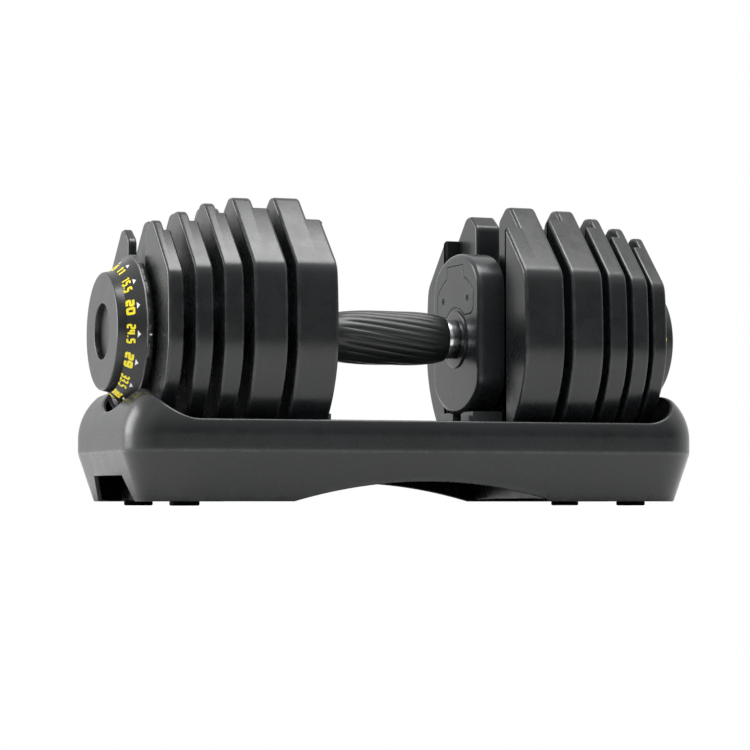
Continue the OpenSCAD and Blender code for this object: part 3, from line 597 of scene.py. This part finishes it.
def makeHandleRings():
    low, high = span("handle_tube")
    bore = handle["tubeBore"]
    edge = [[low[0], high[1] - 0.6], [low[0] + 0.6, high[1]], [high[0] - 0.6, high[1]],
            [high[0], high[1] - 0.6], [high[0], bore], [low[0], bore]]
    makePiece("tube_turned", turned(edge, around=160, wrap=True), satinSteel, "handle_tube")
    for side, mirror in sides:
        low, high = span("collar_right")
        r, bushLow = high[1], span("hub_bushing_right")[0][0]
        bore = handle["collarBore"]
        ring = [[low[0], bore], [low[0], r - 0.7], [low[0] + 0.2, r - 0.2], [low[0] + 0.7, r],
                [bushLow - 0.9, r], [bushLow - 0.4, r - 0.3], [bushLow - 0.2, r - 0.8],
                [high[0], r - 0.8], [high[0], bore]]
        makePiece(f"collar_{side}_turned", turned(ring, around=160, wrap=True), satinSteel,
                  f"collar_{side}", mirror)
        low, high = span("hub_bushing_right")
        r = high[1]
        bore = r - handle["bushingWall"]
        ring = [[low[0] + 0.5, bore], [low[0], bore + 0.5], [low[0], r - 0.9], [low[0] + 0.25, r - 0.25],
                [low[0] + 0.9, r], [high[0] + 0.6, r], [high[0] + 0.6, bore]]
        makePiece(f"bushing_{side}_turned", turned(ring, [0, 1, 1, 1, 1, 0, 0], 160, wrap=True), nylonRing,
                  f"hub_bushing_{side}", mirror)


# hub housing and its key-shaped cover, in mm
hub = {"top": 65.0, "low": 57.0, "edge": 3.5, "wall": 4.0, "cavity": 4.0, "shoulder": 18.0, "chin": 9.0,
       "groove": 0.65, "lidProud": 0.05, "coverDepth": 1.6, "coverRadius": 50.0, "coverHalf": 35.3,
       "coverLow": 17.5, "neckHalf": 16.6, "neckTop": 56.3,
       "ringRadius": 24.0, "screwReach": 23.4, "screwRise": 30.2, "screwRadius": 2.7}


# a circle's end and an upright side joined by a bend (start, corner, end weighted by (1-t)^2, 2t(1-t), t^2)
def sideBend(radius, half, degrees):
    turn = math.radians(degrees)
    reach = (half - radius * math.cos(turn)) / math.sin(turn)
    corner = np.array([half, radius * math.sin(turn) - reach * math.cos(turn)])
    t = np.linspace(0, 1, 9)[:, None]
    end = np.array([radius * math.cos(turn), radius * math.sin(turn)])
    return (corner - (0, reach)) * (1 - t) ** 2 + 2 * t * (1 - t) * corner + end * t ** 2


def hubLoop():
    half = span("hub_housing_right")[1][1]
    topAngle = math.degrees(math.acos(half / hub["top"])) + hub["shoulder"]
    lowAngle = math.degrees(math.acos(half / hub["low"])) + hub["chin"]
    below = np.vstack([arc(hub["low"], -90, -lowAngle, 18)[:-1],
                       (sideBend(hub["low"], half, lowAngle) * (1, -1))[::-1]])
    above = np.vstack([sideBend(hub["top"], half, topAngle), arc(hub["top"], topAngle, 90, 18)[1:]])
    right = np.vstack([below, above])
    return np.vstack([right, (right * (-1, 1))[::-1][1:-1]])


# ring segment over the bushing with a neck to the top; the loop runs counter-clockwise
def coverLoop():
    ringY = math.sqrt(hub["ringRadius"] ** 2 - hub["coverLow"] ** 2)
    start = math.degrees(math.atan2(hub["coverLow"], ringY))
    bow = arc(hub["ringRadius"], 90, start, 12)
    outer = arc(hub["coverRadius"], math.degrees(math.acos(hub["coverHalf"] / hub["coverRadius"])),
                math.degrees(math.acos(hub["neckHalf"] / hub["coverRadius"])), 12)
    right = np.vstack([bow, [[hub["coverHalf"], hub["coverLow"]]], outer,
                       [[hub["neckHalf"], hub["neckTop"]]]])
    radii = np.r_[np.zeros(11), 6, 9, 5, np.zeros(10), 2.5, 2.2]
    left = (right * (-1, 1))[::-1][:-1]
    return rounded(np.vstack([right, left]), np.r_[radii, radii[::-1][:-1]], 6)


def makeHub(side, mirror):
    low, high = span("hub_housing_right")
    face, back = low[0], high[0]
    loop, cover = hubLoop(), coverLoop()
    turn = np.linspace(0, math.pi / 2, 7)
    e, wall = hub["edge"], hub["wall"]
    rows = [[0, e + 1.0, 0], *np.c_[e * (1 - np.cos(turn)), e * (1 - np.sin(turn)), np.ones(7) * 0.6],
            [e + 2, 0, 0], [back - face - 1.4, 0, 0], [back - face - 0.5, 0, 1], [back - face, 0.5, 1],
            [back - face, wall - 0.5, 1], [back - face - 0.5, wall, 0], [hub["cavity"], wall, 0]]
    well = [[0, 0, 0.6], [0.25, 0.12, 0.6], [hub["coverDepth"], 0.12, 0]]
    shell, pocket = layers(loop, face, rows, (False, True)), layers(cover, face, well, (False, True))
    makePiece(f"housing_{side}_moulded", join(shell, pocket), hubPlastic, f"hub_housing_{side}", mirror,
              fill=True)
    # cover plate in the pocket, with two screw wells
    lid, lidFace = inset(cover, hub["groove"]), face - hub["lidProud"]
    rows = [[0.0, 1.0, 0], [0.0, 0.35, 0.6], [0.12, 0.08, 0.6], [0.4, 0.0, 0.3],
            [hub["coverDepth"] - 0.1, 0.0, 0]]
    parts = [layers(lid, lidFace, rows, (False, True))]
    for sign in (-1, 1):
        spot = (sign * hub["screwReach"], hub["screwRise"])
        stack = np.stack([np.c_[np.full(40, lidFace + depth),
                                arc(hub["screwRadius"] - shrink, 0, 351, 40, spot)]
                          for depth, shrink in ((0, 0), (0.2, 0.15), (1.1, 0.15))])
        stack[:, :, 2] += axisZ
        parts.append(rings(stack, [1, 0, 0], (False, True)))
    makePiece(f"cover_{side}_moulded", join(*parts), hubPlastic, f"hub_cover_{side}", mirror, fill=True)


# dial: profile sizes in mm, number sizes and the angle of the first number, up from the front
dial = {"face": 42.4, "ring": 54.2, "flange": 56.2, "coneLong": 12.0, "coneEnd": 43.9, "flangeWide": 4.5,
        "recess": 20.2, "recessDeep": 4.4, "cap": 2.0, "bore": 14.2, "core": 24.0, "hollow": 50.4,
        "hollowEnd": 41.8, "faceWall": 9.0, "socket": 18.0, "socketDeep": 8.3,
        "flatDeep": 0.7, "flatHalf": 6.0, "firstAngle": -5.1, "step": 24.0}
dialNumbers = ("24.5", "29", "33.5", "38", "40", "31.5", "27", "22.5", "18", "13.5", "9", "6.5", "11",
               "15.5", "20")


# ends of the cone that carries the numbers, as (place along the axis, radius)
def coneEnds(ringEnd):
    return np.array([ringEnd, dial["ring"]]), np.array([ringEnd + dial["coneLong"], dial["coneEnd"]])


def makeDial(side, mirror):
    low, high = span("dial_knob_right")
    back, face = low[0], high[0]
    ringEnd = back + dial["flangeWide"]
    r = dial["flange"]
    cup, hollow, inside = face - dial["recessDeep"], dial["hollow"], face - dial["faceWall"]
    profile = [[back, dial["bore"]], [back, dial["core"]], [inside, dial["core"] + 0.4],
               [inside, dial["hollowEnd"]], [ringEnd, hollow], [back + 0.4, hollow + 0.5],
               [back, hollow + 1.0], [back, r - 1.0], [back + 0.3, r - 0.3], [back + 1.0, r],
               [ringEnd - 1.0, r], [ringEnd - 0.3, r - 0.3], [ringEnd, r - 1.0],
               [ringEnd + 0.15, dial["ring"] - 0.1]]
    marks = [0] * 7 + [1, 1, 0.5, 0.5, 1, 1, 0]
    slant = np.linspace(0.04, 1, 8)
    start, end = coneEnds(ringEnd)
    profile += [list(start + (end - start) * s) for s in slant]
    marks += [0] * 8
    faceEdge, recess, seat = dial["face"], dial["recess"], cup - dial["cap"]
    profile += [[face - 1.6, faceEdge + 0.6], [face - 0.8, faceEdge + 0.4], [face - 0.25, faceEdge - 0.1],
                [face, faceEdge - 0.9], [face, faceEdge - 2.2], [face, recess + 2.0], [face, recess + 0.9],
                [face - 0.25, recess + 0.25], [face - 0.9, recess], [seat, recess], [seat, dial["socket"]],
                [seat - dial["socketDeep"], dial["socket"]], [seat - dial["socketDeep"], dial["bore"]]]
    marks += [1, 1, 1, 1, 0, 0, 1, 1, 1, 0, 0, 0, 0]

    # the flange has a shallow flat under each number
    def flats(along, turn, radius):
        fromFront = np.degrees(np.arctan2(np.sin(turn), -np.cos(turn)))
        off = (fromFront - dial["firstAngle"] + dial["step"] / 2) % dial["step"] - dial["step"] / 2
        dip = dial["flatDeep"] * np.exp(-(off / dial["flatHalf"]) ** 6)
        return radius - np.where((along < ringEnd + 0.01) & (radius > dial["ring"] + 0.2), dip, 0)

    makePiece(f"dial_{side}_moulded", turned(profile, marks, 360, wrap=True, wave=flats), dialPlastic,
              f"dial_knob_{side}", mirror, sharp=28)
    cap = dial["recess"] - 0.15
    disc = [[seat, cap], [cup - 0.5, cap], [cup - 0.1, cap - 0.3], [cup, cap - 0.9], [cup, cap - 2.5]]
    makePiece(f"cap_{side}_moulded", turned(disc, [0, 1, 1, 1, 0], 160), dialPlastic,
              f"dial_cap_{side}", mirror)
    makeNumbers(side, mirror, ringEnd)


# strokes of each figure in a unit cell, (across, up); a stroke that ends at a side stops at its edge
figures = {"0": [[(0, 0), (1, 0), (1, 1), (0, 1), (0, 0.0)]],
           "1": [[(0.1, 0.82), (0.62, 1), (0.62, 0)]],
           "2": [[(0, 1), (1, 1), (1, 0.5), (0, 0.5), (0, 0), (1, 0)]],
           "3": [[(0, 1), (1, 1), (1, 0), (0, 0)], [(0.2, 0.5), (0.85, 0.5)]],
           "4": [[(0.8, 1), (0.8, 0)], [(0, 1), (0, 0.38), (0.65, 0.38)], [(0.95, 0.38), (1.15, 0.38)]],
           "5": [[(1, 1), (0, 1), (0, 0.53), (1, 0.53), (1, 0), (0, 0)]],
           "6": [[(1, 1), (0, 1), (0, 0), (1, 0), (1, 0.53), (0.15, 0.53)]],
           "7": [[(0, 1), (1, 1), (0.45, 0)]],
           "8": [[(0, 0), (1, 0), (1, 1), (0, 1), (0, 0.0)], [(0.15, 0.5), (0.85, 0.5)]],
           "9": [[(0, 0), (1, 0), (1, 1), (0, 1), (0, 0.47), (0.85, 0.47)]],
           ".": [[(0.5, -0.02), (0.5, 0.12)]]}
numbers = {"height": 7.1, "stroke": 1.95, "fineStroke": 1.45, "wide": 3.7, "narrow": 2.35, "gap": 0.5,
           "fineGap": 0.3, "point": 0.3, "slant": 12.3, "lift": 0.12, "arrowSlant": 4.7, "arrowDeep": 2.5,
           "arrowHalf": 2.4}


# a stroke in the flat: its corners are softened
def softPath(points):
    points = np.array(points, float)
    closed = len(points) > 3 and np.allclose(points[0], points[-1])
    body = points[:-1] if closed else points
    radii = np.full(len(body), 0.7)
    if not closed:
        radii[0] = radii[-1] = 0
    return rounded(body, radii, 4), closed


# flat number coordinates (across, up) laid on the dial's cone, lifted along its normal
def onCone(flat, lift, centreAngle, advance, ringEnd):
    start, end = coneEnds(ringEnd)
    down = (end - start) / np.linalg.norm(end - start)
    normal = np.array([-down[1], down[0]])
    along = numbers["slant"] - flat[..., 1]
    spot = start + along[..., None] * down + normal * lift[..., None]
    middle = start[1] + numbers["slant"] * down[1]
    angle = math.radians(centreAngle) + advance * flat[..., 0] / middle
    return np.stack([spot[..., 0], -spot[..., 1] * np.cos(angle), axisZ + spot[..., 1] * np.sin(angle)], -1)


# a stroke's section is a thin rectangle: left and right edges half a stroke off the path along its mitre
def strokePart(path, closed, width, *where):
    if closed:
        before, after = path - np.roll(path, 1, 0), np.roll(path, -1, 0) - path
    else:
        steps = np.diff(path, axis=0)
        before, after = np.vstack([steps[:1], steps]), np.vstack([steps, steps[-1:]])
    before, after = (v / np.linalg.norm(v, axis=1)[:, None] for v in (before, after))
    first, second = np.c_[before[:, 1], -before[:, 0]], np.c_[after[:, 1], -after[:, 0]]
    mitre = (first + second) / np.maximum(1 + (first * second).sum(1), 0.3)[:, None] * width / 2
    flat = np.stack([path - mitre, path + mitre, path + mitre, path - mitre], 1)
    lift = np.broadcast_to([numbers["lift"], numbers["lift"], -0.3, -0.3], flat.shape[:2])
    return rings(onCone(flat, lift, *where), wrap=closed)


def makeNumbers(side, mirror, ringEnd):
    advance = -1 if mirror else 1
    yellow, white = [], []
    for k, label in enumerate(dialNumbers):
        angle = dial["firstAngle"] - dial["step"] * k
        where = (angle, advance, ringEnd)
        fine = len(label) > 3
        wide = numbers["narrow"] if fine else numbers["wide"]
        stroke = numbers["fineStroke"] if fine else numbers["stroke"]
        widths = [numbers["point"] if c == "." else wide * (0.75 if c == "1" else 1.0) for c in label]
        gap = (numbers["fineGap"] if fine else numbers["gap"]) + stroke
        left = -(sum(widths) + gap * (len(label) - 1)) / 2
        tall = numbers["height"] - stroke
        for c, w in zip(label, widths):
            for points in figures[c]:
                path, closed = softPath(np.array(points) * (w, tall) + (left, -tall / 2))
                yellow.append(strokePart(path, closed, stroke, *where))
            left += w + gap
        tip, half = numbers["arrowSlant"], numbers["arrowHalf"]
        base = tip + numbers["arrowDeep"]
        corner = np.array([[-half, numbers["slant"] - base], [half, numbers["slant"] - base],
                           [0, numbers["slant"] - tip]])
        flat = np.stack([corner, corner])
        lift = np.array([[-0.3] * 3, [numbers["lift"]] * 3])
        white.append(rings(onCone(flat, lift, *where)))
    node = f"dial_knob_{side}"
    makePiece(f"numbers_{side}", join(*yellow), yellowInk, node, mirror, stands=False)
    # short index line on the flange, beside the first number
    turn = math.radians(dial["firstAngle"])
    r = dial["flange"] - dial["flatDeep"]
    y, z = -r * math.cos(turn), axisZ + r * math.sin(turn)
    white.append(block((ringEnd - 3.3, y - 0.1, z - 0.6), (ringEnd - 1.7, y + 0.6, z + 0.6), 0.1))
    makePiece(f"arrows_{side}", join(*white), whiteInk, node, mirror, stands=False)


makeTray()
makeFeet()
print("tray made")
for side, mirror in sides:
    makeCradle(side, mirror)
    for i in range(5):
        makePlate(i, side, mirror)
print("plates made")
makeGrip()
makeHandleRings()
for side, mirror in sides:
    makeHub(side, mirror)
    makeDial(side, mirror)
print("handle and dials made")

# finish of the CAD parts that are shown as they are
finishes = {"hub_rest": restPlastic, "feet_screws": zincSteel, "cradle_screws": zincSteel,
            "tie_rod": zincSteel, "rod_nuts": zincSteel, "cover_screws": screwBlack,
            "hub_back": blackPlastic, "lock_slider": zincSteel, "lock_springs": zincSteel,
            "dial_sleeve": zincSteel, "lock_gear": zincSteel, "disc_": discSteel}
for name, part in frame["nodes"].items():
    for start, material in finishes.items():
        if name.startswith(start):
            if not part.material_slots:
                part.data.materials.append(material)
            for place in part.material_slots:
                place.material = material
print("CAD parts finished")

# floor, lights and camera
stageSetup = {"floor": 2.8, "floorTone": "#F2F2F0", "front": 0.06, "frontTop": 0.7, "overhead": 23.0,
              "leftBack": 45.0,
              "place": (-0.74547, -1.91982, 0.002145), "yaw": 21.0044, "pitch": 2.6607, "lens": 131.8255}


def makeStage():
    size = stageSetup["floor"]
    mesh = bpy.data.meshes.new("studio_floor")
    corners = [(x, y, -0.0004) for x, y in ((-size, -size), (size, -size), (size, size), (-size, size))]
    mesh.from_pydata(corners, [], [(0, 1, 2, 3)])
    material, tree, shader, place = newMaterial("studio floor, pale matte")
    tone = blendColour(tree, patches(tree, place, 400.0), linear(stageSetup["floorTone"]), linear("#EFEFEE"))
    tree.links.new(tone, shader.inputs["Base Color"])
    shader.inputs["Roughness"].default_value = 0.9
    shader.inputs["Specular IOR Level"].default_value = 0.1
    mesh.materials.append(material)
    floor = bpy.data.objects.new("studio_floor", mesh)
    bpy.context.scene.collection.objects.link(floor)

    # white behind and dark at the height of the object in front, growing brighter with height there
    world = bpy.data.worlds.new("studio")
    bpy.context.scene.world = world
    world.use_nodes = True
    tree = world.node_tree
    tree.nodes.clear()
    direction = addNode(tree, "ShaderNodeTexCoord").outputs["Generated"]
    parts = addNode(tree, "ShaderNodeSeparateXYZ", {0: direction})
    glow = ramp(tree, parts.outputs[1], -0.55, 0.15, stageSetup["front"], 1.0)
    ahead = ramp(tree, parts.outputs[1], -0.15, 0.1, 1.0, 0.0)
    above = times(tree, ramp(tree, parts.outputs[2], 0.12, 0.6, 0.0, stageSetup["frontTop"]), ahead)
    glow = addNode(tree, "ShaderNodeMath", {0: glow, 1: above}, operation="ADD").outputs[0]
    seen = addNode(tree, "ShaderNodeLightPath").outputs["Is Camera Ray"]
    strength = addNode(tree, "ShaderNodeMix", {0: seen, 2: glow, 3: 1.0}, data_type="FLOAT").outputs[0]
    back = addNode(tree, "ShaderNodeBackground", {"Color": (1, 1, 1, 1), "Strength": strength})
    addNode(tree, "ShaderNodeOutputWorld", {"Surface": back.outputs[0]})

    def softbox(name, place, target, width, height, power):
        light = bpy.data.lights.new(name, "AREA")
        light.shape, light.size, light.size_y, light.energy = "RECTANGLE", width, height, power
        lamp = bpy.data.objects.new(name, light)
        lamp.location = place
        lamp.rotation_mode = "QUATERNION"
        lamp.rotation_quaternion = (Vector(target) - Vector(place)).to_track_quat("-Z", "Y")
        lamp.visible_camera = False
        bpy.context.scene.collection.objects.link(lamp)

    softbox("overhead softbox", (0.2, -0.34, 1.62), (0, 0, 0.1), 1.1, 0.8, stageSetup["overhead"])
    softbox("left back softbox", (-2.3, 1.7, 0.9), (0, 0, 0.12), 1.4, 1.6, stageSetup["leftBack"])

    lens = bpy.data.cameras.new("camera")
    lens.lens, lens.sensor_width, lens.clip_start, lens.clip_end = stageSetup["lens"], 36.0, 0.05, 50.0
    camera = bpy.data.objects.new("camera", lens)
    camera.location = stageSetup["place"]
    yaw, pitch = math.radians(stageSetup["yaw"]), math.radians(stageSetup["pitch"])
    look = Vector((math.sin(yaw) * math.cos(pitch), math.cos(yaw) * math.cos(pitch), math.sin(pitch)))
    camera.rotation_mode = "QUATERNION"
    camera.rotation_quaternion = look.to_track_quat("-Z", "Y")
    bpy.context.scene.collection.objects.link(camera)
    bpy.context.scene.camera = camera
    bpy.context.scene.view_settings.view_transform = "Standard"


makeStage()
print("stage made")
